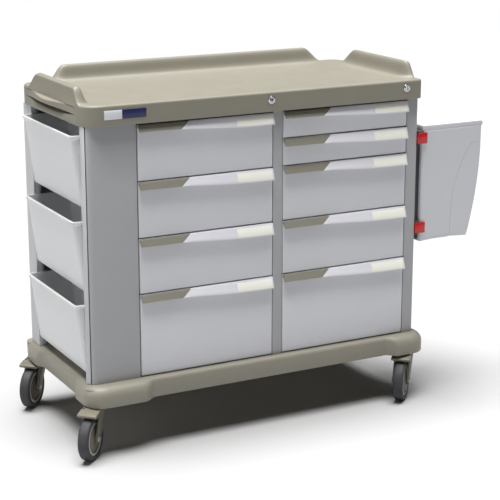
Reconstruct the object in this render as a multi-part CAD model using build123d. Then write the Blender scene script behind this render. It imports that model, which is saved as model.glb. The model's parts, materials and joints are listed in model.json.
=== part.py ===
from build123d import *
import os
from math import cos, radians, sin

# Two-column medication cart on four swivel casters: a moulded worktop and base, nine
# drawers, three tilt-out side bins and a waste bin. Millimetres, +Z up, the drawers face -Y,
# the tilt-out bins face -X and the waste bin hangs at +X.

# overall sizes
cabinet_length = 1062.0
cabinet_depth = 462.0
drawer_module = 80.0
left_stack = (3, 2, 2, 2)
right_stack = (3, 2, 2, 1, 1)

# widths along X
bay_width = 155.0
centre_post_width = 31.0
right_post_width = 36.0
post_depth = 18.0
corner_radius = 26.0
panel_gap = 1.75
sheet = 2.0

# casters
wheel_diameter = 125.0
tyre_width = 32.0
tyre_height = 15.5
trail = 40.0
trail_angle = 226.0
axle_radius = 5.0
running_clearance = 0.05
kingpin_radius = 6.0
kingpin_length = 30.0
fork_width = 50.0
arm_thickness = 5.0
wheel_to_fork = 3.5
fork_head_height = 17.5
head_radius = 28.0
fork_to_base = 2.0
caster_from_left = 16.0
caster_from_right = 20.0
caster_inset_front = 48.0
caster_inset_back = 28.0

# base moulding
base_height = 57.0
bulge_drop = 2.0
bulge_side_left = 16.0
bulge_side_right = 36.0
bulge_front = 42.0
middle_front = 22.0
middle_side = 3.0
bulge_long = 170.0
bulge_short = 110.0
bulge_depth = 114.0
ramp = 30.0
base_corner = 56.0
base_edge = 12.0
base_wall = 8.0
base_deck = 10.0
boss_radius = 26.0

# worktop moulding
skirt_height = 57.0
skirt_wall = 5.0
deck_thickness = 6.0
top_side = 5.0
top_front = 16.0
top_back = 12.0
top_corner_large = 56.0
top_corner_small = 12.0
top_corner_rear = 45.0
top_edge = 7.0
rim_height = 45.0
rim_thickness = 18.0
rim_round = 7.0
rim_overlap = 1.0
back_rim_from_left = 82.0
back_rim_from_right = 66.0
back_rim_slopes = (44.0, 66.0)
side_rim_from_front = 36.0
side_rim_from_back = 50.0
side_rim_slopes = (20.0, 77.0)

# push handle in the left end of the worktop
grip_start = 45.0
grip_to_back = 42.0
grip_bulge = 22.0
grip_thickness = 8.0
grip_height = 21.0
grip_drop = 8.0
slot_above = 7.0
slot_below = 8.0

# drawers
drawer_gap = 1.5
front_thickness = 18.0
visor_reach = 15.0
visor_top = 3.0
visor_left = 20.0
visor_right = 33.0
tray_wall = 3.0
tray_side = 12.0
tray_back = 22.0
tray_lift = 4.0
tray_headroom = 30.0
rail_rise = 10.0
rail_height = 24.0
rail_depth = 11.0
rail_sheet = 2.0
rib_play = 0.8
rib_gap = 1.0
tray_left_inside = 102.0

# tilt-out bins
bin_top_gap = 12.0
bin_lift = 36.0
bin_side_gap = 1.0
bin_between = 46.0
bin_sweep_over_rim = 7.0
bin_lean = 26.0
bin_divider = 20.0
bin_to_divider = 21.0
bin_wall = 2.5
bin_foot = 7.0
bin_back_drop = 37.0
bin_flange = 5.0
bin_flange_height = 9.0
bin_pin_radius = 4.0
bin_pin_length = 5.0
stile_face = 6.5
stile_width = 22.0
stile_start = 21.0
stile_end = 27.0
groove = 3.0
rear_stile = 62.0

# waste bin, its bracket and its clips
waste_gap = 21.0
waste_top_length = 218.0
waste_bottom_length = 176.0
waste_depth = 231.0
waste_height = 355.5
waste_top_drop = 145.0
waste_wall = 3.0
lid_height = 14.0
lid_gap = 0.5
cover_drop = 50.0
cover_seam_bottom = 109.0
cover_seam_top = 184.0
cover_gap = 0.4
bracket_start = 14.0
bracket_end = 200.0
lid_pin_radius = 2.5
lid_knuckle_radius = 5.0
lid_knuckle_length = 19.0
lid_pin_offset = 6.0
lug_length = 6.0
clip_height = 32.0
clip_reach = 26.0
clip_thickness = 6.0
clip_pin_radius = 2.5
clip_barrel = 6.5
clip_offset = 8.0
clip_ear = 4.0
clip_margin_bottom = 29.0
clip_margin_top = 6.0
clip_neck = 12.0

# locks, label and screws
lock_radius = 11.0
lock_shank = 9.0
lock_length = 26.0
lock_flange = 2.5
plug_radius = 6.0
lock_inset = 15.0
lock_height = 34.0
cam_length = 20.0
cam_width = 8.0
label_length = 122.0
label_height = 24.5
label_thickness = 1.5
label_start = 4.0
label_rise = 18.0
screw_radius = 5.0
screw_head = 2.5
screw_inset = 14.0
screw_columns = 5
screw_rows = 3

# heights and faces that follow from the sizes above
left = -cabinet_length / 2
right = cabinet_length / 2
base_bottom = wheel_diameter + wheel_to_fork + fork_head_height + fork_to_base + bulge_drop - 1.0
bulge_bottom = base_bottom - bulge_drop
base_top = base_bottom + base_height
stack_bottom = base_top + 2.0
stack_top = stack_bottom + sum(left_stack) * drawer_module
skirt_bottom = stack_top + 3.0
worktop_top = skirt_bottom + skirt_height
deck_bottom = worktop_top - deck_thickness
post_top = skirt_bottom + 10.0
column_width = (cabinet_length - bay_width - centre_post_width - right_post_width) / 2
left_column = left + bay_width
centre_post = left_column + column_width
right_column = centre_post + centre_post_width
right_post = right_column + column_width
back_inner = cabinet_depth - sheet
grip_end = cabinet_depth - grip_to_back
drawer_travel = cabinet_depth - tray_left_inside
bin_pitch = (stack_top - stack_bottom - bin_top_gap) / 3
bin_rim_rise = bin_pitch - bin_between
bin_sweep = bin_rim_rise + bin_sweep_over_rim


def block(x0, x1, y0, y1, z0, z1):
    centre = Pos((x0 + x1) / 2, (y0 + y1) / 2, (z0 + z1) / 2)
    return centre * Box(x1 - x0, y1 - y0, z1 - z0)


def outline_face(points):
    return make_face(Polyline(*points, close=True))


def plan_prism(points, z0, z1):
    face = outline_face([(x, y, z0) for x, y in points])
    return extrude(face, amount=z1 - z0, dir=(0, 0, 1))


def front_prism(points, y0, y1):
    face = outline_face([(x, y0, z) for x, z in points])
    return extrude(face, amount=y1 - y0, dir=(0, 1, 0))


def side_prism(points, x0, x1):
    face = outline_face([(x0, y, z) for y, z in points])
    return extrude(face, amount=x1 - x0, dir=(1, 0, 0))


def rod(centre, axis, radius, length):
    return Plane(origin=centre, z_dir=axis) * Cylinder(radius, length)


# --- base -----------------------------------------------------------------------------

bulge_left = left - bulge_side_left
bulge_right = right + bulge_side_right
bulge_fore = -bulge_front
bulge_aft = cabinet_depth + bulge_front
caster_x = (left + caster_from_left, right - caster_from_right)
caster_y = (bulge_fore + caster_inset_front, bulge_aft - caster_inset_back)


def base_outline():
    x0 = left - middle_side
    x1 = right + middle_side
    y0 = -middle_front
    y1 = cabinet_depth + middle_front
    return [
        (bulge_left, bulge_fore),
        (bulge_left + bulge_long, bulge_fore),
        (bulge_left + bulge_long + ramp, y0),
        (bulge_right - bulge_short - ramp, y0),
        (bulge_right - bulge_short, bulge_fore),
        (bulge_right, bulge_fore),
        (bulge_right, bulge_fore + bulge_depth),
        (x1, bulge_fore + bulge_depth + ramp),
        (x1, bulge_aft - bulge_depth - ramp),
        (bulge_right, bulge_aft - bulge_depth),
        (bulge_right, bulge_aft),
        (bulge_right - bulge_short, bulge_aft),
        (bulge_right - bulge_short - ramp, y1),
        (bulge_left + bulge_long + ramp, y1),
        (bulge_left + bulge_long, bulge_aft),
        (bulge_left, bulge_aft),
        (bulge_left, bulge_aft - bulge_depth),
        (x0, bulge_aft - bulge_depth - ramp),
        (x0, bulge_fore + bulge_depth + ramp),
        (bulge_left, bulge_fore + bulge_depth),
    ]


def round_upright(solid, corners, radius):
    for x, y in corners:
        edges = solid.edges().filter_by(Axis.Z)
        edge = edges.sort_by(lambda e: (e.center().X - x) ** 2 + (e.center().Y - y) ** 2)[0]
        solid = fillet(edge, radius)
    return solid


def make_base():
    corners = [(x, y) for x in (bulge_left, bulge_right) for y in (bulge_fore, bulge_aft)]
    body = round_upright(plan_prism(base_outline(), bulge_bottom, base_top), corners, base_corner)
    body = fillet(body.faces().sort_by(Axis.Z)[-1].edges(), base_edge)
    body -= block(bulge_left + bulge_long, bulge_right - bulge_short, bulge_fore - 1, bulge_aft + 1,
                  bulge_bottom - 1, base_bottom)
    body -= block(bulge_left - 1, bulge_right + 1, bulge_fore + bulge_depth, bulge_aft - bulge_depth,
                  bulge_bottom - 1, base_bottom)
    side = base_wall - middle_side
    front = base_wall - middle_front
    pocket = block(left + side, right - side, front, cabinet_depth - front,
                   bulge_bottom - 1, base_top - base_deck)
    for x in caster_x:
        for y in caster_y:
            boss = rod((x, y, (bulge_bottom + base_top) / 2), (0, 0, 1), boss_radius, 2 * base_height)
            pocket -= boss
    body -= pocket
    pin_top = bulge_bottom + kingpin_length
    for x in caster_x:
        for y in caster_y:
            hole_radius = kingpin_radius + running_clearance
            body -= rod((x, y, bulge_bottom), (0, 0, 1), hole_radius, 2 * (pin_top - bulge_bottom))
    return body


# --- worktop --------------------------------------------------------------------------

top_left = left - top_side
top_right = right + top_side
top_fore = -top_front
top_aft = cabinet_depth + top_back


def worktop_slab(inset, z0, z1):
    x0 = top_left + inset
    x1 = top_right - inset
    y0 = top_fore + inset
    y1 = top_aft - inset
    slab = plan_prism([(x0, y0), (x1, y0), (x1, y1), (x0, y1)], z0, z1)
    slab = round_upright(slab, [(x0, y0)], top_corner_large - inset)
    slab = round_upright(slab, [(x1, y0)], top_corner_small - inset)
    return round_upright(slab, [(x1, y1), (x0, y1)], top_corner_rear - inset)


def under_worktop(solid):
    # what is left of a panel once its top corners clear the rounded skirt
    around = block(left - 1, right + 1, 0, cabinet_depth + 1, skirt_bottom, deck_bottom + 1)
    return solid - (around - worktop_slab(skirt_wall, skirt_bottom - 1, deck_bottom + 2))


def rim_profile(start, end, near_slope, far_slope):
    foot = worktop_top - rim_overlap
    crest = worktop_top + rim_height
    return [(start, foot), (end, foot), (end - far_slope, crest), (start + near_slope, crest)]


def make_worktop():
    body = worktop_slab(0, skirt_bottom, worktop_top)
    top_edges = body.faces().sort_by(Axis.Z)[-1].edges()
    body = fillet([e for e in top_edges if e.center().Y < top_fore + top_corner_large], top_edge)
    body -= worktop_slab(skirt_wall, skirt_bottom - 1, deck_bottom)
    back_profile = rim_profile(left + back_rim_from_left, right - back_rim_from_right, *back_rim_slopes)
    back_rim = front_prism(back_profile, top_aft - rim_thickness, top_aft)
    back_rim = fillet(back_rim.edges().filter_by(Axis.X).group_by(Axis.Z)[-1], rim_round)
    side_profile = rim_profile(side_rim_from_front, cabinet_depth - side_rim_from_back, *side_rim_slopes)
    left_rim = side_prism(side_profile, top_left, top_left + rim_thickness)
    left_rim = fillet(left_rim.edges().filter_by(Axis.Y).group_by(Axis.Z)[-1], rim_round)
    right_rim = side_prism(side_profile, top_right - rim_thickness, top_right)
    right_rim = fillet(right_rim.edges().filter_by(Axis.Y).group_by(Axis.Z)[-1], rim_round)
    body += back_rim
    body += left_rim
    body += right_rim
    body -= block(top_left - 1, top_left + skirt_wall + 1, grip_start, grip_end,
                  skirt_bottom + slot_below, worktop_top - slot_above)
    for x in lock_x:
        body -= rod((x, top_fore, lock_z), (0, 1, 0), lock_shank, 4 * skirt_wall)
    return body


def crescent(curve, straight_x, z0, height):
    # between a curve and the straight line behind it
    start = (straight_x, curve[0][1], z0)
    end = (straight_x, curve[-1][1], z0)
    arc = Spline(*[(x, y, z0) for x, y in curve])
    back = Polyline((*curve[-1], z0), end, start, (*curve[0], z0))
    return extrude(make_face([arc, back]), amount=height, dir=(0, 0, 1))


def make_push_handle():
    span = grip_end - grip_start
    # along the grip and out from the skirt, as shares of its length and of its bulge
    shape = ((0.0, 0.0), (0.17, 0.04), (0.31, 0.45), (0.42, 0.95),
             (0.50, 1.0), (0.62, 0.75), (0.80, 0.22), (1.0, 0.0))
    outer = [(top_left - grip_bulge * out, grip_start + span * along) for along, out in shape]
    z0 = worktop_top - grip_drop - grip_height
    body = crescent(outer, top_left + skirt_wall, z0, grip_height)
    # hollow from beneath, so that the fingers reach behind the lip
    behind = [(x + grip_thickness, y) for x, y in outer]
    beyond = top_left + grip_thickness + 1
    return body - crescent(behind, beyond, z0 - 1, grip_height - grip_thickness + 1)


# --- cabinet panels -------------------------------------------------------------------

def rounded_corner_block():
    x1 = left + bay_width
    body = block(left, x1, 0, 4 * corner_radius, base_top, skirt_bottom)
    return round_upright(body, [(left, 0)], corner_radius)


bin_pivot_x = left + 1.0 + bin_foot
bin_pivot_z = [stack_bottom + bin_lift + i * bin_pitch for i in range(3)]
bin_back = bay_width - bin_divider - bin_to_divider - (bin_pivot_x - left)


def make_front_left_panel():
    start = left + stile_face + groove
    end = left_column - panel_gap
    body = rounded_corner_block() & block(start, end, 0, post_depth, base_top, skirt_bottom)
    pocket = block(start + corner_radius, end - sheet, sheet, post_depth + 1, base_top - 1, post_top)
    return body - pocket


def make_bin_bay_stiles():
    bar = block(left, left + stile_face, 0, stile_end, base_top, skirt_bottom)
    bar += block(left, left + stile_width, stile_start, stile_end, base_top, skirt_bottom)
    front = rounded_corner_block() & bar
    rear = block(left, left + stile_width, back_inner - rear_stile, back_inner, base_top, deck_bottom)
    for z in bin_pivot_z:
        hole_radius = bin_pin_radius + running_clearance
        hole_length = 2 * (bin_pin_length + bin_side_gap + 2)
        front -= rod((bin_pivot_x, stile_end, z), (0, 1, 0), hole_radius, hole_length)
        rear -= rod((bin_pivot_x, back_inner - rear_stile, z), (0, 1, 0), hole_radius, hole_length)
    return Compound([front, under_worktop(rear)])


def divider(x0, x1):
    # a folded sheet box, open at its top and bottom, from behind the posts to the back panel
    core = block(x0 + sheet, x1 - sheet, post_depth + sheet, back_inner - sheet,
                 base_top - 1, deck_bottom + 1)
    return block(x0, x1, post_depth, back_inner, base_top, deck_bottom) - core


def make_front_posts():
    centre = block(centre_post, right_column, 0, post_depth, base_top, post_top)
    end = block(right_post, right, 0, post_depth, base_top, post_top)
    return Compound([centre, end])


def make_panel_screws():
    screws = []
    for i in range(screw_columns):
        for j in range(screw_rows):
            x = left + screw_inset + i * (cabinet_length - 2 * screw_inset) / (screw_columns - 1)
            z = base_top + screw_inset + j * (skirt_bottom - base_top - 2 * screw_inset) / (screw_rows - 1)
            screws.append(rod((x, cabinet_depth + screw_head / 2, z), (0, 1, 0), screw_radius, screw_head))
    return Compound(screws)


# --- drawers --------------------------------------------------------------------------

def stack_levels(stack):
    levels = []
    z = stack_bottom
    for modules in stack:
        levels.append((z, modules * drawer_module))
        z += modules * drawer_module
    return levels


def make_rail(face_x, inward, z):
    z0 = z + rail_rise
    z1 = z0 + rail_height
    tip = face_x + inward * rail_depth
    web = face_x + inward * rail_sheet
    points = [
        (face_x, z0), (tip, z0), (tip, z0 + rail_sheet), (web, z0 + rail_sheet),
        (web, z1 - rail_sheet), (tip, z1 - rail_sheet), (tip, z1), (face_x, z1),
    ]
    return front_prism(points, post_depth + 6, back_inner - 10)


def make_runner_rails():
    rails = []
    for x, stack in ((left_column, left_stack), (right_column, right_stack)):
        for z, height in stack_levels(stack):
            rails.append(make_rail(x, 1, z))
            rails.append(make_rail(x + column_width, -1, z))
    return Compound(rails)


def make_tray(x, z, height):
    x0 = x + tray_side
    x1 = x + column_width - tray_side
    y0 = front_thickness
    y1 = cabinet_depth - tray_back
    z0 = z + tray_lift
    z1 = z + height - tray_headroom
    tray = block(x0, x1, y0, y1, z0, z1)
    tray -= block(x0 + tray_wall, x1 - tray_wall, y0 + tray_wall, y1 - tray_wall, z0 + tray_wall, z1 + 1)
    rib_bottom = z + rail_rise + rail_sheet + rib_play
    rib_top = z + rail_rise + rail_height - rail_sheet - rib_play
    reach = rail_sheet + rib_gap
    tray += block(x + reach, x0 + 0.5, y0 + 12, y1, rib_bottom, rib_top)
    tray += block(x1 - 0.5, x + column_width - reach, y0 + 12, y1, rib_bottom, rib_top)
    return tray


def visor_section(x, top, drop):
    reach = visor_reach
    wall = visor_top
    points = [(0, top), (-wall, top), (-reach, top - drop), (wall - reach, top - drop), (0, top - 2 * wall)]
    return outline_face([(x, y, z) for y, z in points])


def make_drawer_front(x, z, height):
    x0 = x + panel_gap
    x1 = x + column_width - panel_gap
    top = z + height - drawer_gap
    panel = block(x0, x1, 0, front_thickness, z + drawer_gap, top)
    visor = loft([visor_section(x0, top, visor_left), visor_section(x1, top, visor_right)], ruled=True)
    return Compound([panel, visor])


# --- tilt-out bins --------------------------------------------------------------------

bin_fore = stile_end + bin_side_gap
bin_aft = back_inner - rear_stile - bin_side_gap


def bin_section(inset, rise, y):
    # side outline about the pivot: leaning front wall, level rim, then an arc about the pivot
    foot = inset - bin_foot
    level = bin_rim_rise + rise
    sweep = bin_sweep + rise
    back = bin_back - inset
    turn = (sweep ** 2 - level ** 2) ** 0.5
    fall = (sweep ** 2 - back ** 2) ** 0.5
    middle = (turn + back) / 2
    points = [(back, fall), (back, foot), (foot, foot), (inset - bin_foot - bin_lean, level), (turn, level)]
    world = [(bin_pivot_x + u, y, v) for u, v in points]
    arc_middle = (bin_pivot_x + middle, y, (sweep ** 2 - middle ** 2) ** 0.5)
    return make_face([Polyline(*world), ThreePointArc(world[-1], arc_middle, world[0])])


def make_tilt_bin(pivot_z):
    outer = extrude(bin_section(0, 0, bin_fore), amount=bin_aft - bin_fore, dir=(0, 1, 0))
    y0 = bin_fore + bin_wall
    inner = extrude(bin_section(bin_wall, 0, y0), amount=bin_aft - bin_wall - y0, dir=(0, 1, 0))
    body = outer - inner
    level = bin_rim_rise
    x_back = bin_pivot_x + bin_back
    turn = bin_pivot_x + (bin_sweep ** 2 - level ** 2) ** 0.5
    x_front = bin_pivot_x - bin_foot - bin_lean
    mouth_top = bin_rim_rise + 10
    body -= block(x_front + bin_wall + 2, turn, y0, bin_aft - bin_wall, level - 2 * bin_wall, mouth_top)
    body -= block(turn - 1, x_back + 1, y0, bin_aft - bin_wall, level - bin_back_drop, mouth_top)
    flange = block(x_front - bin_flange, x_front + bin_wall, bin_fore, bin_aft,
                   level - bin_flange_height, level)
    body += flange
    for y, way in ((bin_fore, -1), (bin_aft, 1)):
        centre = (bin_pivot_x, y + way * (bin_pin_length / 2 - 0.5), 0)
        body += rod(centre, (0, 1, 0), bin_pin_radius, bin_pin_length + 1)
    return Pos(0, 0, pivot_z) * body


# --- waste bin ------------------------------------------------------------------------

waste_left = right + waste_gap
waste_top = worktop_top - waste_top_drop
waste_bottom = waste_top - waste_height
waste_seam = waste_top - lid_height
ledge = waste_seam - cover_drop
lid_axis = (waste_left - lid_pin_offset, waste_seam + 1.0)
knuckle_y = (36.5, waste_depth - 36.5 - lid_knuckle_length)
clip_axis = (right + clip_offset, 0.5)
clip_z = (waste_bottom + clip_margin_bottom, waste_seam - clip_margin_top - clip_height)


def cover_curve(t):
    return waste_top_length - (waste_top_length - waste_bottom_length) * (1 - t) ** 1.85


def seam_curve(t):
    return cover_seam_bottom + (cover_seam_top - cover_seam_bottom) * t ** 3.15


def curve_points(curve, shift, z0, z1, y):
    points = []
    for i in range(9):
        t = i / 8
        points.append((waste_left + curve(t) + shift, y, z0 + (z1 - z0) * t))
    return points


def waste_face(inset, top, y):
    x0 = waste_left + inset
    x1 = waste_left + waste_top_length - inset
    z0 = waste_bottom + inset
    z1 = ledge + inset
    seam = curve_points(seam_curve, -inset, z0, z1, y)
    lines = Polyline(seam[-1], (x1, y, z1), (x1, y, top), (x0, y, top), (x0, y, z0), seam[0])
    return make_face([Spline(*seam), lines])


def make_waste_body():
    outer = extrude(waste_face(0, waste_seam, 0), amount=waste_depth, dir=(0, 1, 0))
    hollow = extrude(waste_face(waste_wall, waste_seam + 1, waste_wall),
                     amount=waste_depth - 2 * waste_wall, dir=(0, 1, 0))
    body = outer - hollow
    x, z = lid_axis
    for y in knuckle_y:
        y0 = y - lid_gap - lug_length
        y1 = y + lid_knuckle_length + lid_gap
        for start in (y0, y1):
            body += block(x - lid_knuckle_radius, waste_left + 0.5, start, start + lug_length,
                          waste_seam - 14, waste_seam)
            body += rod((x, start + lug_length / 2, z), (0, 1, 0), lid_knuckle_radius, lug_length)
        body += rod((x, y + lid_knuckle_length / 2, z), (0, 1, 0), lid_pin_radius,
                    lid_knuckle_length + 2 * lid_gap + lug_length)
    return body


def make_waste_cover():
    z1 = ledge
    outer = curve_points(cover_curve, 0, waste_bottom, z1, 0)
    seam = curve_points(seam_curve, cover_gap, waste_bottom, z1, 0)
    edges = [Spline(*outer), Line(outer[-1], seam[-1]), Spline(*seam), Line(seam[0], outer[0])]
    body = extrude(make_face(edges), amount=waste_depth, dir=(0, 1, 0))
    thick = 3 * waste_wall
    span = z1 - waste_bottom
    hollow = []
    for i in range(5):
        t = i / 4 * 0.9
        hollow.append((waste_left + cover_curve(t) - thick, waste_bottom + span * t - thick * (i == 0)))
    for i in range(4, -1, -1):
        t = i / 4 * 0.9
        hollow.append((waste_left + seam_curve(t) + thick, waste_bottom + span * t - thick * (i == 0)))
    return body - front_prism(hollow, waste_wall, waste_depth - waste_wall)


def make_waste_lid():
    z0 = waste_seam + lid_gap
    x1 = waste_left + waste_top_length
    body = block(waste_left, x1, 0, waste_depth, z0, waste_top)
    body = fillet(body.edges().filter_by(Axis.Y).group_by(Axis.Z)[-1].sort_by(Axis.X)[-1], lid_height / 2)
    body -= block(waste_left + waste_wall, x1 - waste_wall, waste_wall, waste_depth - waste_wall,
                  z0 - 1, waste_top - waste_wall)
    x, z = lid_axis
    for y in knuckle_y:
        middle = y + lid_knuckle_length / 2
        body += rod((x, middle, z), (0, 1, 0), lid_knuckle_radius, lid_knuckle_length)
        body += block(x, waste_left + 1, y, y + lid_knuckle_length, z0, z + lid_knuckle_radius)
        body -= rod((x, middle, z), (0, 1, 0), lid_pin_radius + running_clearance, lid_knuckle_length + 2)
    return body


def make_waste_bracket():
    plate = block(right, waste_left, bracket_start, bracket_end, waste_bottom + 6, waste_seam - 20)
    plate -= block(right + sheet, waste_left - sheet, bracket_start + sheet, bracket_end - sheet,
                   waste_bottom, waste_seam)
    x, y = clip_axis
    neck_top = clip_z[1] + clip_height + lid_gap + clip_ear
    plate += block(x - 5, x + 5, bracket_start, bracket_start + clip_neck, waste_seam - 22, neck_top)
    for z in clip_z:
        for z0 in (z - lid_gap - clip_ear, z + clip_height + lid_gap):
            ear = block(x - 5, x + 5, y, bracket_start + 0.5, z0, z0 + clip_ear)
            plate += ear + rod((x, y, z0 + clip_ear / 2), (0, 0, 1), 5, clip_ear)
        plate += rod((x, y, z + clip_height / 2), (0, 0, 1), clip_pin_radius, clip_height + 2)
    return plate


def make_clip(z):
    x, y = clip_axis
    front = y - clip_barrel
    body = rod((x, y, z + clip_height / 2), (0, 0, 1), clip_barrel, clip_height)
    body += block(x, x + clip_reach, front - 1, front - 1 + clip_thickness - 1, z, z + clip_height)
    body -= rod((x, y, z + clip_height / 2), (0, 0, 1), clip_pin_radius + running_clearance, clip_height + 2)
    return body


# --- locks and label ------------------------------------------------------------------

lock_x = (centre_post - lock_inset, right_post - lock_inset)
lock_z = worktop_top - skirt_height + lock_height


def make_lock_barrels():
    barrels = []
    for x in lock_x:
        shank = rod((x, top_fore + lock_length / 2, lock_z), (0, 1, 0), lock_shank, lock_length)
        flange = rod((x, top_fore - lock_flange / 2, lock_z), (0, 1, 0), lock_radius, lock_flange)
        bore = rod((x, top_fore, lock_z), (0, 1, 0), plug_radius + running_clearance, 3 * lock_length)
        barrels.append(shank + flange - bore)
    return Compound(barrels)


def make_lock_plug(x):
    front = top_fore - lock_flange - 1.0
    rear = top_fore + lock_length
    plug = rod((x, (front + rear) / 2, lock_z), (0, 1, 0), plug_radius, rear - front)
    plug -= block(x - 0.6, x + 0.6, front - 1, front + 6, lock_z - 3.5, lock_z + 3.5)
    cam = block(x - cam_width / 2, x + cam_width / 2, rear, rear + sheet, lock_z - cam_length, lock_z + 4)
    neck = rod((x, rear + sheet / 2, lock_z), (0, 1, 0), plug_radius, sheet)
    return plug + cam + neck


def make_label_plate():
    x0 = top_left + top_corner_large + label_start
    z0 = skirt_bottom + label_rise
    plate = block(x0, x0 + label_length, top_fore - label_thickness, top_fore, z0, z0 + label_height)
    return fillet(plate.edges().filter_by(Axis.Y), 2.0)


# --- casters, built with the trailing direction along +X and the swivel axis on Z -----

axle_z = wheel_diameter / 2
fork_under = wheel_diameter + wheel_to_fork
fork_top = fork_under + fork_head_height
pedal_pin_x = 26.0
pedal_pin_z = fork_top - 6.0
pedal_pin_radius = 2.5
pedal_tip = 66.0
pedal_half = 28.0
pedal_play = 1.0
head_back = 22.0
head_front = 20.0
arm_reach = 32.0
arm_inner = fork_width / 2 - arm_thickness


def make_fork():
    half = fork_width / 2
    head = rod((0, 0, (fork_under + fork_top) / 2), (0, 0, 1), head_radius, fork_head_height)
    head += block(-head_back, head_front, -half, half, fork_under, fork_top)
    head -= block(head_front, head_radius + 1, -head_radius, head_radius, fork_under - 1, fork_top + 1)
    head += rod((0, 0, fork_top + kingpin_length / 2 - 1), (0, 0, 1), kingpin_radius, kingpin_length)
    boss = 14.0
    arm = [(-head_back, fork_top), (arm_reach, fork_top), (arm_reach, fork_under - 2),
           (trail + boss - 2, axle_z + 8), (trail - boss + 2, axle_z - 7), (5 - head_back, fork_under - 6)]
    for y0, y1 in ((-half, -arm_inner), (arm_inner, half)):
        face = outline_face([(x, y0, z) for x, z in arm])
        head += extrude(face, amount=y1 - y0, dir=(0, 1, 0))
        head += rod((trail, (y0 + y1) / 2, axle_z), (0, 1, 0), boss, arm_thickness)
    head += rod((trail, 0, axle_z), (0, 1, 0), axle_radius, fork_width)
    hole = rod((pedal_pin_x, 0, pedal_pin_z), (0, 1, 0), pedal_pin_radius + running_clearance, fork_width + 2)
    return head - hole


def make_pedal():
    under = fork_under + 1.0
    root = pedal_pin_x - 3.5
    side = [(root + 4, under), (root, under + 6), (root, fork_top - 2.5), (root + 4, fork_top - 0.5),
            (pedal_tip - 3, under + 9), (pedal_tip, under + 6), (pedal_tip - 2, under)]
    inner = arm_inner - pedal_play
    body = front_prism(side, -inner, inner)
    wing = front_prism(side, -pedal_half, pedal_half)
    wing &= block(arm_reach + 2, pedal_tip + 1, -pedal_half - 1, pedal_half + 1, under - 1, fork_top)
    body += wing
    body += rod((pedal_pin_x, 0, pedal_pin_z), (0, 1, 0), pedal_pin_radius, fork_width)
    return body


def make_tyre():
    outer = rod((trail, 0, axle_z), (0, 1, 0), wheel_diameter / 2, tyre_width)
    outer = fillet(outer.edges().filter_by(GeomType.CIRCLE), tyre_width / 4)
    return outer - rod((trail, 0, axle_z), (0, 1, 0), wheel_diameter / 2 - tyre_height, tyre_width + 2)


def make_wheel():
    rim = wheel_diameter / 2 - tyre_height
    core = rod((trail, 0, axle_z), (0, 1, 0), rim, tyre_width - 4)
    core = fillet(core.edges().filter_by(GeomType.CIRCLE), 2.0)
    core += rod((trail, 0, axle_z), (0, 1, 0), 13.0, 2 * arm_inner - 2 * pedal_play)
    return core - rod((trail, 0, axle_z), (0, 1, 0), axle_radius + running_clearance, fork_width + 2)


# --- the whole cart -------------------------------------------------------------------

nodes = {
    "worktop": make_worktop(),
    "push_handle": make_push_handle(),
    "base": make_base(),
    "front_left_panel": make_front_left_panel(),
    "bin_bay_stiles": make_bin_bay_stiles(),
    "bin_bay_divider": divider(left_column - bin_divider, left_column),
    "centre_divider": divider(centre_post, right_column),
    "right_side_panel": under_worktop(divider(right_post, right)),
    "back_panel": under_worktop(block(left, right, back_inner, cabinet_depth, base_top, deck_bottom)),
    "front_posts": make_front_posts(),
    "runner_rails": make_runner_rails(),
    "panel_screws": make_panel_screws(),
    "label_plate": make_label_plate(),
    "lock_barrels": make_lock_barrels(),
    "waste_bin_bracket": make_waste_bracket(),
    "waste_bin_body": make_waste_body(),
    "waste_bin_cover": make_waste_cover(),
    "waste_bin_lid": make_waste_lid(),
    "lower_clip": make_clip(clip_z[0]),
    "upper_clip": make_clip(clip_z[1]),
    "left_lock_plug": make_lock_plug(lock_x[0]),
    "right_lock_plug": make_lock_plug(lock_x[1]),
}

for column, x, stack in (("left", left_column, left_stack), ("right", right_column, right_stack)):
    for number, (z, height) in enumerate(stack_levels(stack), start=1):
        nodes[f"{column}_drawer_{number}_tray"] = make_tray(x, z, height)
        nodes[f"{column}_drawer_{number}_front"] = make_drawer_front(x, z, height)

for number, z in enumerate(bin_pivot_z, start=1):
    nodes[f"tilt_bin_{number}"] = make_tilt_bin(z)

fork = make_fork()
pedal = make_pedal()
wheel = make_wheel()
tyre = make_tyre()
corner_names = ("front_left", "rear_left", "front_right", "rear_right")
corner_points = [(x, y) for x in caster_x for y in caster_y]
for name, (x, y) in zip(corner_names, corner_points):
    place = Pos(x, y, 0) * Rot(0, 0, trail_angle)
    nodes[f"{name}_caster_fork"] = place * fork
    nodes[f"{name}_brake_pedal"] = place * pedal
    nodes[f"{name}_wheel"] = place * wheel
    nodes[f"{name}_tyre"] = place * tyre

# the origin stands on the floor, under the middle of the whole cart's plan
reach_box = Compound(list(nodes.values())).bounding_box()
origin_x = (reach_box.min.X + reach_box.max.X) / 2
origin_y = (reach_box.min.Y + reach_box.max.Y) / 2

os.makedirs("parts", exist_ok=True)
for name, shape in nodes.items():
    export_step(Pos(-origin_x, -origin_y, 0) * shape, f"parts/{name}.step")
print(f"{len(nodes)} nodes, origin at ({origin_x:.3f}, {origin_y:.3f})")
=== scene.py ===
import json
from math import cos, pi, radians, sin

import bmesh
import bpy
from mathutils import Matrix, Vector

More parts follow.
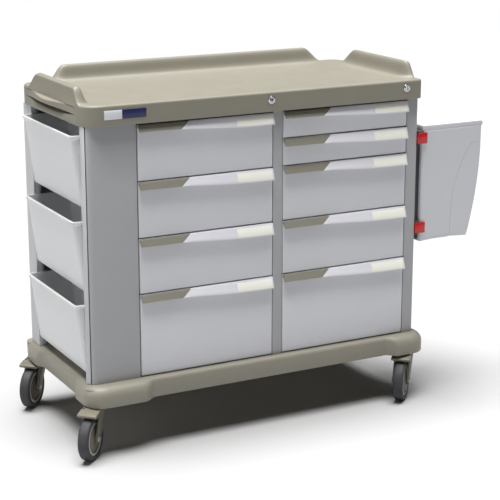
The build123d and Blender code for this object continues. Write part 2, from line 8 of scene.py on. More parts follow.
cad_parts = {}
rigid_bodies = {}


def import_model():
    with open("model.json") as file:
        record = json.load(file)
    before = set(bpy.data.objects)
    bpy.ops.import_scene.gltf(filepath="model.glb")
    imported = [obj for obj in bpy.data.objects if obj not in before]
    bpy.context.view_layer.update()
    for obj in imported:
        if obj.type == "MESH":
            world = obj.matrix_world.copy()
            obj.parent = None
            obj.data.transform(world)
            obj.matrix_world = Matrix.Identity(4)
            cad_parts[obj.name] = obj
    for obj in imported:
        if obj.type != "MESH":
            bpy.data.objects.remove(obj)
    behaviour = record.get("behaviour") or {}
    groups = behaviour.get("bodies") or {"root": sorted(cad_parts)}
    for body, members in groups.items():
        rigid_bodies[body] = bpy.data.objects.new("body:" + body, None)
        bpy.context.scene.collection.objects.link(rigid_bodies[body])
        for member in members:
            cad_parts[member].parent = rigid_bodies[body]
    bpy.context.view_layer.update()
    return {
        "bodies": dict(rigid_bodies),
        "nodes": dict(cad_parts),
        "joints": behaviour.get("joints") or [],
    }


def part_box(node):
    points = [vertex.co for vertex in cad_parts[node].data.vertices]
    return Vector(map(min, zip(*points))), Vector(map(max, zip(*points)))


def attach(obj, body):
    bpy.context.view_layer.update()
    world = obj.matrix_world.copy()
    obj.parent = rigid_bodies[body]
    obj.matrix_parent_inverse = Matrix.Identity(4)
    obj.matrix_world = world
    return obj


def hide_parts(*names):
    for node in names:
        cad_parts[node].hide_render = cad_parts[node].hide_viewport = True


# A two-column medication cart: moulded worktop and base, nine drawers with hooded grips,
# three tilt-out side bins, a waste bin and four braked swivel casters.

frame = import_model()
print("frame loaded:", len(frame["nodes"]), "nodes")

mm = 0.001
cabinet = {
    "left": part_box("back_panel")[0].x,
    "right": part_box("back_panel")[1].x,
    "front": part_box("front_posts")[0].y,
    "back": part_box("back_panel")[1].y,
}
corners = ("front_left", "rear_left", "front_right", "rear_right")
jointOf = {joint["name"]: joint for joint in frame["joints"]}


# shader groups

def startGroup(name, inputs, outputs):
    group = bpy.data.node_groups.new(name, "ShaderNodeTree")
    for label, kind, value in inputs:
        socket = group.interface.new_socket(label, in_out="INPUT", socket_type="NodeSocket" + kind)
        socket.default_value = value
    for label, kind in outputs:
        group.interface.new_socket(label, in_out="OUTPUT", socket_type="NodeSocket" + kind)
    return group, group.nodes.new("NodeGroupInput"), group.nodes.new("NodeGroupOutput")


def addNode(tree, kind, settings=None, values=None):
    node = tree.nodes.new("ShaderNode" + kind)
    for key, value in (settings or {}).items():
        setattr(node, key, value)
    for key, value in (values or {}).items():
        node.inputs[key].default_value = value
    return node


def mathNode(tree, operation, a, b=None, clamp=False):
    node = addNode(tree, "Math", {"operation": operation, "use_clamp": clamp})
    for index, value in enumerate((a, b)):
        if value is None:
            continue
        if isinstance(value, (int, float)):
            node.inputs[index].default_value = value
        else:
            tree.links.new(value, node.inputs[index])
    return node.outputs[0]


def mixColour(tree, amount, a, b, blend="MIX"):
    node = addNode(tree, "Mix", {"data_type": "RGBA", "blend_type": blend})
    for socket, value in ((node.inputs[0], amount), (node.inputs[6], a), (node.inputs[7], b)):
        if hasattr(value, "is_linked"):
            tree.links.new(value, socket)
        else:
            socket.default_value = value
    return node.outputs[2]


def grainGroup():
    # fine moulded or sprayed texture, with a slow mottle for colour and gloss
    group, start, end = startGroup(
        "surfaceGrain",
        [("Scale", "Float", 900.0), ("Depth", "Float", 0.00006), ("Mottle Scale", "Float", 14.0)],
        [("Normal", "Vector"), ("Mottle", "Float"), ("Speckle", "Float")],
    )
    links = group.links
    place = addNode(group, "TexCoord")
    fine = addNode(group, "TexNoise", values={"Detail": 3.0, "Roughness": 0.6})
    links.new(place.outputs["Object"], fine.inputs["Vector"])
    links.new(start.outputs["Scale"], fine.inputs["Scale"])
    slow = addNode(group, "TexNoise", values={"Detail": 4.0, "Roughness": 0.55})
    links.new(place.outputs["Object"], slow.inputs["Vector"])
    links.new(start.outputs["Mottle Scale"], slow.inputs["Scale"])
    wave = addNode(group, "TexNoise", values={"Scale": 9.0, "Detail": 1.0})
    links.new(place.outputs["Object"], wave.inputs["Vector"])
    waviness = addNode(group, "Bump", values={"Strength": 0.35, "Distance": 0.0006})
    links.new(wave.outputs["Fac"], waviness.inputs["Height"])
    bump = addNode(group, "Bump", values={"Strength": 0.8})
    links.new(start.outputs["Depth"], bump.inputs["Distance"])
    links.new(fine.outputs["Fac"], bump.inputs["Height"])
    links.new(waviness.outputs["Normal"], bump.inputs["Normal"])
    links.new(bump.outputs["Normal"], end.inputs["Normal"])
    links.new(slow.outputs["Fac"], end.inputs["Mottle"])
    links.new(fine.outputs["Fac"], end.inputs["Speckle"])
    return group


def wearAndEdgeHighlightGroup():
    # lighter rubbed edges that also paint a highlight on every rounded edge, small scuffs, and dust on what
    # faces up or stands near the floor
    group, start, end = startGroup(
        "handlingWearAndEdgeHighlight",
        [("Colour", "Color", (0.5, 0.5, 0.5, 1)), ("Edge Colour", "Color", (0.7, 0.7, 0.7, 1)),
         ("Edge Amount", "Float", 0.4), ("Scuff Amount", "Float", 0.15), ("Dust Amount", "Float", 0.1),
         ("Roughness", "Float", 0.45), ("Mottle", "Float", 0.5), ("Mottle Amount", "Float", 0.08)],
        [("Colour", "Color"), ("Roughness", "Float")],
    )
    links = group.links
    place = addNode(group, "TexCoord")
    surface = addNode(group, "NewGeometry")
    # painted highlight: the Bevel node finds rounded edges, which are lightened partly as rubbed wear and
    # partly as a painted edge highlight
    rounded = addNode(group, "Bevel", {"samples": 4}, {"Radius": 0.0022})
    bend = addNode(group, "VectorMath", {"operation": "DOT_PRODUCT"})
    links.new(rounded.outputs["Normal"], bend.inputs[0])
    links.new(surface.outputs["Normal"], bend.inputs[1])
    edge = mathNode(group, "SUBTRACT", 1.0, bend.outputs["Value"])
    edge = mathNode(group, "MULTIPLY", edge, 5.0, clamp=True)
    patches = addNode(group, "TexNoise", values={"Scale": 38.0, "Detail": 5.0, "Roughness": 0.7})
    links.new(place.outputs["Object"], patches.inputs["Vector"])
    edge = mathNode(group, "MULTIPLY", edge, patches.outputs["Fac"])
    edge = mathNode(group, "MULTIPLY", edge, start.outputs["Edge Amount"], clamp=True)

    stretch = addNode(group, "Mapping", values={"Scale": (26.0, 26.0, 210.0), "Rotation": (0.3, 0.5, 0.2)})
    links.new(place.outputs["Object"], stretch.inputs["Vector"])
    lines = addNode(group, "TexNoise", values={"Scale": 1.0, "Detail": 2.0, "Roughness": 0.5})
    links.new(stretch.outputs["Vector"], lines.inputs["Vector"])
    scuff = mathNode(group, "SUBTRACT", lines.outputs["Fac"], 0.66)
    scuff = mathNode(group, "MULTIPLY", scuff, 9.0, clamp=True)
    scuff = mathNode(group, "MULTIPLY", scuff, start.outputs["Scuff Amount"], clamp=True)

    split = addNode(group, "SeparateXYZ")
    links.new(surface.outputs["Normal"], split.inputs[0])
    height = addNode(group, "SeparateXYZ")
    links.new(place.outputs["Object"], height.inputs[0])
    low = mathNode(group, "SUBTRACT", 0.35, height.outputs["Z"])
    low = mathNode(group, "MULTIPLY", low, 2.2, clamp=True)
    upward = mathNode(group, "MULTIPLY", split.outputs["Z"], 0.45, clamp=True)
    dust = mathNode(group, "ADD", low, upward)
    dust = mathNode(group, "MULTIPLY", dust, patches.outputs["Fac"])
    dust = mathNode(group, "MULTIPLY", dust, start.outputs["Dust Amount"], clamp=True)

    shade = mathNode(group, "SUBTRACT", start.outputs["Mottle"], 0.5)
    shade = mathNode(group, "MULTIPLY", shade, start.outputs["Mottle Amount"])
    bright = mathNode(group, "ADD", shade, 1.0)
    tone = addNode(group, "HueSaturation")
    links.new(bright, tone.inputs["Value"])
    links.new(start.outputs["Colour"], tone.inputs["Color"])
    # the edge mix is partly rubbed wear and partly a painted edge highlight
    colour = mixColour(group, edge, tone.outputs["Color"], start.outputs["Edge Colour"])
    colour = mixColour(group, scuff, colour, start.outputs["Edge Colour"])
    colour = mixColour(group, dust, colour, (0.42, 0.40, 0.37, 1))
    links.new(colour, end.inputs["Colour"])
    rough = mathNode(group, "ADD", start.outputs["Roughness"], shade)
    rough = mathNode(group, "ADD", rough, mathNode(group, "MULTIPLY", scuff, 0.25))
    rough = mathNode(group, "ADD", rough, mathNode(group, "MULTIPLY", dust, 0.4), clamp=True)
    links.new(rough, end.inputs["Roughness"])
    return group


grain = grainGroup()
wearAndHighlight = wearAndEdgeHighlightGroup()


def linear(r, g, b):
    def one(c):
        c = c / 255
        return c / 12.92 if c <= 0.04045 else ((c + 0.055) / 1.055) ** 2.4
    return (one(r), one(g), one(b), 1.0)


def makeFinish(name, colour, roughness, grainScale=900.0, grainDepth=0.00006, mottle=0.08,
               wearHighlightColour=None, edgeWearHighlightAmount=0.35, scuff=0.12, dust=0.10, **sockets):
    material = bpy.data.materials.new(name)
    material.use_nodes = True
    tree = material.node_tree
    shader = tree.nodes["Principled BSDF"]
    texture = tree.nodes.new("ShaderNodeGroup")
    texture.node_tree = grain
    texture.inputs["Scale"].default_value = grainScale
    texture.inputs["Depth"].default_value = grainDepth
    wornAndHighlighted = tree.nodes.new("ShaderNodeGroup")
    wornAndHighlighted.node_tree = wearAndHighlight
    base = linear(*colour)
    # the paler edge colour serves rubbed edges and scuffs, and is partly a painted edge highlight
    paleWearHighlight = tuple(min(1.0, c * 1.35 + 0.03) for c in base[:3]) + (1.0,)
    wearHighlightTone = linear(*wearHighlightColour) if wearHighlightColour else paleWearHighlight
    for label, value in (("Colour", base), ("Edge Colour", wearHighlightTone), ("Edge Amount", edgeWearHighlightAmount),
                         ("Scuff Amount", scuff), ("Dust Amount", dust), ("Roughness", roughness),
                         ("Mottle Amount", mottle)):
        wornAndHighlighted.inputs[label].default_value = value
    tree.links.new(texture.outputs["Mottle"], wornAndHighlighted.inputs["Mottle"])
    tree.links.new(wornAndHighlighted.outputs["Colour"], shader.inputs["Base Color"])
    tree.links.new(wornAndHighlighted.outputs["Roughness"], shader.inputs["Roughness"])
    tree.links.new(texture.outputs["Normal"], shader.inputs["Normal"])
    for label, value in sockets.items():
        shader.inputs[label.replace("_", " ")].default_value = value
    return material


finish = {
    "taupe": makeFinish("taupeMoulding", (137, 133, 120), 0.46, 700.0, 0.00009, 0.10,
                        edgeWearHighlightAmount=0.45, scuff=0.22, dust=0.16),
    "grip": makeFinish("taupeGrip", (132, 129, 117), 0.42, 1100.0, 0.00005, scuff=0.10, dust=0.04),
    "panel": makeFinish("greyPowderCoat", (167, 168, 170), 0.50, 1500.0, 0.00005, 0.05, scuff=0.10),
    "strip": makeFinish("lightPowderCoat", (190, 191, 194), 0.50, 1500.0, 0.00005, 0.05),
    "lining": makeFinish("darkPowderCoat", (64, 64, 69), 0.55, 1500.0, 0.00006, 0.10, edgeWearHighlightAmount=0.25),
    "front": makeFinish("drawerLaminate", (211, 212, 217), 0.40, 1300.0, 0.00004, 0.04,
                        edgeWearHighlightAmount=0.5, scuff=0.10, dust=0.05),
    "white": makeFinish("whiteGrip", (224, 224, 230), 0.34, 1200.0, 0.00003, 0.03, dust=0.03),
    "cream": makeFinish("labelCard", (243, 242, 232), 0.60, 2200.0, 0.00003, 0.05, scuff=0.05),
    "tray": makeFinish("trayPlastic", (225, 226, 230), 0.42, 1000.0, 0.00004, 0.05),
    "bin": makeFinish("binPlastic", (248, 249, 250), 0.34, 800.0, 0.00004, 0.04, scuff=0.16,
                      Transmission_Weight=0.42, IOR=1.3),
    "waste": makeFinish("wastePlastic", (208, 209, 214), 0.40, 900.0, 0.00006, 0.05, scuff=0.14),
    "red": makeFinish("redPlastic", (196, 6, 10), 0.30, 1200.0, 0.00003, 0.06,
                      wearHighlightColour=(235, 70, 60), Coat_Weight=0.3),
    "chrome": makeFinish("chrome", (205, 206, 210), 0.14, 400.0, 0.00002, 0.05, scuff=0.3, Metallic=1.0),
    "zinc": makeFinish("zincPlate", (176, 178, 182), 0.36, 300.0, 0.00004, 0.2, scuff=0.35, Metallic=1.0),
    "navy": makeFinish("navyPlate", (24, 36, 84), 0.34, 1600.0, 0.00002, 0.05),
    "plate": makeFinish("whitePlate", (218, 220, 226), 0.32, 1600.0, 0.00002, 0.04),
    # the tyre's lighter edge colour is partly a painted edge highlight
    "tyre": makeFinish("casterRubber", (27, 26, 36), 0.62, 500.0, 0.00016, 0.22,
                       wearHighlightColour=(70, 69, 82), edgeWearHighlightAmount=0.4, scuff=0.35, dust=0.18),
    "ring": makeFinish("casterRing", (178, 176, 172), 0.45, 900.0, 0.00005, 0.08, dust=0.35),
    "caster": makeFinish("casterPlastic", (92, 88, 74), 0.44, 800.0, 0.00008, 0.12,
                         edgeWearHighlightAmount=0.45, scuff=0.3, dust=0.16),
    "pedal": makeFinish("pedalPlastic", (110, 105, 90), 0.44, 800.0, 0.00008, 0.10,
                        edgeWearHighlightAmount=0.5, scuff=0.4, dust=0.14),
}
print("finishes made:", len(finish))


# mesh helpers

def addPiece(name, mesh, material, body, replaced=(), crease=32):
    mesh.shade_smooth()
    mesh.set_sharp_from_angle(angle=radians(crease))
    mesh.materials.clear()
    mesh.materials.append(finish[material])
    piece = bpy.data.objects.new(name, mesh)
    bpy.context.scene.collection.objects.link(piece)
    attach(piece, body)
    if replaced:
        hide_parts(*replaced)
    return piece


def meshFrom(bm, name):
    bmesh.ops.remove_doubles(bm, verts=bm.verts, dist=1e-6)
    bmesh.ops.recalc_face_normals(bm, faces=bm.faces)
    mesh = bpy.data.meshes.new(name)
    bm.to_mesh(mesh)
    bm.free()
    return mesh


def loftRings(rings, closedStart=True, closedEnd=True, looped=False, bm=None):
    # joins closed rings of equal length into a skin, with a cap at each end
    bm = bm or bmesh.new()
    rows = [[bm.verts.new(point) for point in ring] for ring in rings]
    pairs = list(zip(rows, rows[1:]))
    if looped:
        pairs.append((rows[-1], rows[0]))
    for low, high in pairs:
        for i in range(len(low)):
            j = (i + 1) % len(low)
            bm.faces.new((low[i], low[j], high[j], high[i]))
    if not looped and closedStart:
        bm.faces.new(list(reversed(rows[0])))
    if not looped and closedEnd:
        bm.faces.new(rows[-1])
    return bm


def insetLoop(low, high, radii, inset, edgeCounts, cornerCount):
    # a rounded rectangle drawn in by inset; its corners start at (low.x, low.y) and go anticlockwise
    rounds = [max(radius - inset, 0.4 * mm) for radius in radii]
    signs = ((1, 1), (-1, 1), (-1, -1), (1, -1))
    ends = ((low[0], low[1]), (high[0], low[1]), (high[0], high[1]), (low[0], high[1]))
    points = []
    for k in range(4):
        centreX = ends[k][0] + signs[k][0] * (inset + rounds[k])
        centreY = ends[k][1] + signs[k][1] * (inset + rounds[k])
        for i in range(cornerCount + 1):
            angle = pi + k * pi / 2 + i * pi / 2 / cornerCount
            points.append((centreX + rounds[k] * cos(angle), centreY + rounds[k] * sin(angle)))
        n = (k + 1) % 4
        nextX = ends[n][0] + signs[n][0] * (inset + rounds[n])
        nextY = ends[n][1] + signs[n][1] * (inset + rounds[n])
        startAngle = pi + (k + 1) * pi / 2
        targetX = nextX + rounds[n] * cos(startAngle)
        targetY = nextY + rounds[n] * sin(startAngle)
        lastX, lastY = points[-1]
        for i in range(1, edgeCounts[k]):
            share = i / edgeCounts[k]
            points.append((lastX + (targetX - lastX) * share, lastY + (targetY - lastY) * share))
    return points


def smoothStep(value):
    value = min(1.0, max(0.0, value))
    return value * value * (3 - 2 * value)


def ramped(value, start, end, rise, fall):
    return smoothStep((value - start) / rise) * smoothStep((end - value) / fall)


def roundedBox(low, high, radius, segments=3, bm=None):
    part = bmesh.new()
    size = Vector(high) - Vector(low)
    middle = (Vector(high) + Vector(low)) / 2
    bmesh.ops.create_cube(part, size=1.0, matrix=Matrix.Translation(middle) @ Matrix.Diagonal((*size, 1.0)))
    bmesh.ops.bevel(part, geom=part.edges[:], offset=radius, segments=segments, profile=0.5, affect="EDGES")
    if bm is None:
        return part
    mesh = bpy.data.meshes.new("part")
    part.to_mesh(mesh)
    part.free()
    bm.from_mesh(mesh)
    bpy.data.meshes.remove(mesh)
    return bm


def turned(profile, centre, axis, steps=64, bm=None):
    # revolves (radius, along) points round an axis; equal first and last points make a ring
    bm = bm or bmesh.new()
    axis = Vector(axis).normalized()
    across = axis.orthogonal().normalized()
    other = axis.cross(across)
    centre = Vector(centre)
    rows = []
    for radius, along in profile:
        if radius < 1e-7:
            rows.append([bm.verts.new(centre + axis * along)])
            continue
        ring = []
        for i in range(steps):
            angle = 2 * pi * i / steps
            outwards = (across * cos(angle) + other * sin(angle)) * radius
            ring.append(bm.verts.new(centre + axis * along + outwards))
        rows.append(ring)
    for low, high in zip(rows, rows[1:]):
        for i in range(steps):
            j = (i + 1) % steps
            corners4 = [low[i % len(low)], low[j % len(low)], high[j % len(high)], high[i % len(high)]]
            unique = list(dict.fromkeys(corners4))
            if len(unique) > 2:
                bm.faces.new(unique)
    return bm


def softCopy(name, node, width, material, body, segments=2, limit=30):
    # a CAD part's shape with its sharp edges rounded
    bm = bmesh.new()
    bm.from_mesh(frame["nodes"][node].data)
    bmesh.ops.remove_doubles(bm, verts=bm.verts, dist=2e-6)
    bmesh.ops.dissolve_limit(bm, angle_limit=radians(0.8), verts=bm.verts, edges=bm.edges)
    mesh = bpy.data.meshes.new(name + "Sharp")
    bm.to_mesh(mesh)
    bm.free()
    helper = bpy.data.objects.new(name + "Helper", mesh)
    bpy.context.scene.collection.objects.link(helper)
    bevel = helper.modifiers.new("round", "BEVEL")
    bevel.width = width
    bevel.segments = segments
    bevel.limit_method = "ANGLE"
    bevel.angle_limit = radians(limit)
    bevel.use_clamp_overlap = True
    depsgraph = bpy.context.evaluated_depsgraph_get()
    rounded = bpy.data.meshes.new_from_object(helper.evaluated_get(depsgraph))
    rounded.name = name
    bpy.data.objects.remove(helper)
    return addPiece(name, rounded, material, body, (node,), crease=35)


# worktop

worktopSizes = {
    "cornerFrontLeft": 56 * mm, "cornerFrontRight": 12 * mm, "cornerRear": 45 * mm,
    "rim": 45 * mm, "roll": 7 * mm, "wall": 5 * mm, "deck": 6 * mm, "crest": 13 * mm,
    "backRim": (82 * mm, 66 * mm, 44 * mm, 66 * mm), "sideRim": (22 * mm, 50 * mm, 36 * mm, 77 * mm),
    "rimFoot": 48 * mm, "rimSetIn": 1.4 * mm,
    "recessDepth": 20 * mm, "recessAbove": 7.5 * mm, "recessFade": 9 * mm,
    "archFoot": 16 * mm, "archRise": 12 * mm,
    # the rim's inner face: millimetres from the edge, and share of its height
    "falls": ((17, 0.995), (20, 0.96), (23, 0.87), (26, 0.72), (29, 0.50), (32, 0.31), (35.5, 0.15),
              (39.5, 0.05), (43.5, 0.01), (48, 0.0), (66, 0.0)),
}


def rimShare(x, y, low, high):
    # how much of the full rim height stands at a point of the worktop's edge
    size = worktopSizes
    near = 0.45 * size["rimFoot"]
    if y > high[1] - near:
        first, last, rise, fall = size["backRim"]
        return ramped(x, cabinet["left"] + first, cabinet["right"] - last, rise, fall)
    if x < low[0] + near or x > high[0] - near:
        first, last, rise, fall = size["sideRim"]
        return ramped(y, cabinet["front"] + first, cabinet["back"] - last, rise, fall)
    return 0.0


def makeWorktop():
    size = worktopSizes
    low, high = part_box("worktop")
    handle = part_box("push_handle")
    skirt = low.z
    top = high.z - size["rim"]
    radii = (size["cornerFrontLeft"], size["cornerFrontRight"], size["cornerRear"], size["cornerRear"])
    counts = (96, 100, 96, 110)
    outline = insetLoop(low, high, radii, 0.0, counts, 9)
    shares = []
    hollows = []
    arches = []
    for x, y in outline:
        shares.append(rimShare(x, y, low, high))
        along = (y - handle[0].y) / (handle[1].y - handle[0].y)
        onLeft = x < low.x + 0.1 * mm
        hollow = ramped(y, handle[0].y, handle[1].y, size["recessFade"], size["recessFade"])
        hollows.append(hollow * onLeft)
        arches.append(skirt + size["archFoot"] + size["archRise"] * min(1.0, (2 * along - 1) ** 2))
    highEdge = top - size["recessAbove"]
    rings = []
    loopCache = {}

    def crestInset(share, turn):
        edge = size["roll"] + (size["crest"] - size["roll"]) * share
        return size["rimSetIn"] * share + edge * (1 - cos(turn))

    def ring(insetOf, heightOf):
        # each vertex takes its inset and height from its own share of rim, recess and arch
        row = []
        for i in range(len(outline)):
            inset = insetOf(shares[i], hollows[i])
            loop = loopCache.get(round(inset, 6))
            if loop is None:
                loop = insetLoop(low, high, radii, inset, counts, 9)
                loopCache[round(inset, 6)] = loop
            row.append((*loop[i], heightOf(shares[i], arches[i])))
        rings.append(row)

    # h is the share of rim height, d the share of recess, a the height of the recess's lower edge
    depth = size["recessDepth"]
    wall = size["wall"]
    ring(lambda h, d: wall + depth * d, lambda h, a: top - size["deck"])
    ring(lambda h, d: wall + depth * d, lambda h, a: skirt + 1.0 * mm)
    ring(lambda h, d: wall - 1.0 * mm + depth * d, lambda h, a: skirt)
    ring(lambda h, d: 1.2 * mm, lambda h, a: skirt)
    ring(lambda h, d: 0.4 * mm, lambda h, a: skirt + 0.4 * mm)
    ring(lambda h, d: 0.0, lambda h, a: skirt + 1.4 * mm)
    ring(lambda h, d: 0.0, lambda h, a: a - 1.0 * mm)
    ring(lambda h, d: 0.6 * mm * d, lambda h, a: a)
    ring(lambda h, d: depth * 0.5 * d, lambda h, a: a + 2.0 * mm)
    ring(lambda h, d: depth * d, lambda h, a: a + 5.0 * mm)
    ring(lambda h, d: depth * d, lambda h, a: (a + highEdge) / 2)
    ring(lambda h, d: depth * d, lambda h, a: highEdge - 2.5 * mm)
    ring(lambda h, d: depth * 0.5 * d, lambda h, a: highEdge - 0.8 * mm)
    ring(lambda h, d: 0.5 * mm * d, lambda h, a: highEdge - 0.3 * mm)
    ring(lambda h, d: 0.0, lambda h, a: highEdge + 0.2 * mm)
    ring(lambda h, d: size["rimSetIn"] * h, lambda h, a: highEdge + 0.4 * mm + 2.0 * mm * h)
    for step in range(7):
        angle = step / 6 * pi / 2
        ring(lambda h, d, t=angle: crestInset(h, t),
             lambda h, a, t=angle: top - size["roll"] * (1 - sin(t)) + size["rim"] * h)
    for inset, share in size["falls"]:
        ring(lambda h, d, w=inset: w * mm, lambda h, a, s=share: top + size["rim"] * h * s)
    mesh = meshFrom(loftRings(rings), "worktop_moulding")
    return addPiece("worktop_moulding", mesh, "taupe", "root", ("worktop",), crease=50)


makeWorktop()
print("worktop done")


# push handle

handleSizes = {"wall": 5 * mm, "lip": 8 * mm, "roof": 8 * mm, "thinning": 8 * mm, "stations": 72,
               "roundTop": 4 * mm, "roundFoot": 2 * mm}


def quarterArc(x, y, z, radius, first):
    # six points of a quarter turn about (x, z), beginning at the angle first
    turns = [first + k * pi / 10 for k in range(6)]
    return [(x + radius * cos(turn), y, z + radius * sin(turn)) for turn in turns]


def makePushHandle():
    # a crescent ledge: straight along the skirt, bulging outwards, hollow beneath
    size = handleSizes
    low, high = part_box("push_handle")
    inner = high.x - 0.2 * mm
    skirtX = high.x - size["wall"]
    bulge = skirtX - low.x
    rings = []
    for i in range(size["stations"] + 1):
        t = i / size["stations"]
        out = smoothStep((t - 0.14) / 0.33) if t < 0.5 else 1 - smoothStep((t - 0.5) / 0.42)
        outer = skirtX - bulge * out
        y = low.y + (high.y - low.y) * t
        foot = low.z + size["thinning"] * out
        lip = min(outer + size["lip"], inner - 0.4 * mm)
        roof = high.z - size["roof"]
        footRound, topRound = size["roundFoot"], size["roundTop"]
        section = quarterArc(outer + footRound, y, foot + footRound, footRound, pi)
        section += [(lip, y, foot), (lip, y, roof - 1.0 * mm), (lip + 0.1 * mm, y, roof),
                    (inner, y, roof), (inner, y, high.z)]
        section += quarterArc(outer + topRound, y, high.z - topRound, topRound, pi / 2)
        rings.append(section)
    mesh = meshFrom(loftRings(rings), "push_handle_bar")
    return addPiece("push_handle_bar", mesh, "taupe", "root", ("push_handle",), crease=45)


makePushHandle()


# base

baseSizes = {
    "corner": 56 * mm, "recessFront": 20 * mm, "recessLeft": 13 * mm, "recessRight": 33 * mm,
    "lift": 2 * mm, "wall": 9 * mm, "long": 168 * mm, "short": 106 * mm, "side": 111 * mm, "ramp": 36 * mm,
    "roundMiddle": 12 * mm, "roundBulge": 28 * mm, "deck": 10 * mm, "boss": 26 * mm,
}


def bulgeShare(x, y, low, high):
    # 1 at the four swollen corners, 0 along the drawn-in middles
    size = baseSizes
    alongX = max(smoothStep(1 - (x - low.x - size["long"]) / size["ramp"]),
                 smoothStep(1 - (high.x - size["short"] - x) / size["ramp"]))
    alongY = max(smoothStep(1 - (y - low.y - size["side"]) / size["ramp"]),
                 smoothStep(1 - (high.y - size["side"] - y) / size["ramp"]))
    edge = 0.5 * mm
    if y < low.y + edge or y > high.y - edge:
        return alongX, size["recessFront"]
    if x < low.x + edge:
        return alongY, size["recessLeft"]
    if x > high.x - edge:
        return alongY, size["recessRight"]
    return 1.0, 0.0


def makeBase():
    size = baseSizes
    low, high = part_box("base")
    radii = (size["corner"],) * 4
    counts = (130, 60, 130, 60)
    outline = insetLoop(low, high, radii, 0.0, counts, 14)
    inner = insetLoop(low, high, radii, 1.0 * mm, counts, 14)
    shares = [bulgeShare(x, y, low, high) for x, y in outline]
    rings = []

    def ring(insetOf, heightOf):
        row = []
        for i, (x, y) in enumerate(outline):
            share, recess = shares[i]
            inset = (insetOf(share) + recess * (1 - share)) / mm
            stepX = inner[i][0] - x
            stepY = inner[i][1] - y
            row.append((x + stepX * inset, y + stepY * inset, heightOf(share)))
        rings.append(row)

    foot = low.z
    ring(lambda b: size["wall"], lambda b: high.z - size["deck"])
    ring(lambda b: size["wall"], lambda b: foot + size["lift"] * (1 - b) + 1.5 * mm)
    ring(lambda b: size["wall"] - 1.5 * mm, lambda b: foot + size["lift"] * (1 - b))
    ring(lambda b: 3.0 * mm, lambda b: foot + size["lift"] * (1 - b))
    ring(lambda b: 0.9 * mm, lambda b: foot + size["lift"] * (1 - b) + 0.9 * mm)
    ring(lambda b: 0.0, lambda b: foot + size["lift"] * (1 - b) + 3.0 * mm)
    for step in range(10):
        angle = step / 9 * pi / 2
        ring(lambda b, t=angle: rounding(b) * (1 - cos(t)),
             lambda b, t=angle: high.z - rounding(b) * (1 - sin(t)))
    ring(lambda b: rounding(b) + 3.0 * mm, lambda b: high.z)
    mesh = meshFrom(loftRings(rings), "base_moulding")
    return addPiece("base_moulding", mesh, "taupe", "root", ("base",), crease=50)


def rounding(share):
    return baseSizes["roundMiddle"] + (baseSizes["roundBulge"] - baseSizes["roundMiddle"]) * share


def makeCasterBosses():
    size = baseSizes
    low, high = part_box("base")
    bm = bmesh.new()
    foot = low.z + 0.5 * mm
    head = high.z - size["deck"] - foot + 2 * mm
    boss = size["boss"]
    profile = [(0, 0), (boss - 2 * mm, 0), (boss, 2 * mm), (boss + 1 * mm, head), (0, head)]
    for corner in corners:
        place = Vector(jointOf[corner + "_swivel"]["pos_m"])
        turned(profile, (place.x, place.y, foot), (0, 0, 1), 48, bm)
    mesh = meshFrom(bm, "base_caster_bosses")
    return addPiece("base_caster_bosses", mesh, "taupe", "root")


makeBase()
makeCasterBosses()
print("base done")


# cabinet shell

softCopy("corner_panel", "front_left_panel", 1.2 * mm, "panel", "root", 3)
softCopy("bay_stiles", "bin_bay_stiles", 1.0 * mm, "strip", "root")
softCopy("bay_divider", "bin_bay_divider", 0.8 * mm, "lining", "root")
softCopy("column_divider", "centre_divider", 0.8 * mm, "lining", "root")
softCopy("side_panel", "right_side_panel", 1.0 * mm, "panel", "root")
softCopy("rear_panel", "back_panel", 0.9 * mm, "panel", "root")
softCopy("column_posts", "front_posts", 1.5 * mm, "panel", "root", 3)
softCopy("drawer_rails", "runner_rails", 0.3 * mm, "zinc", "root", 1)


# screws, repeated by one node tree

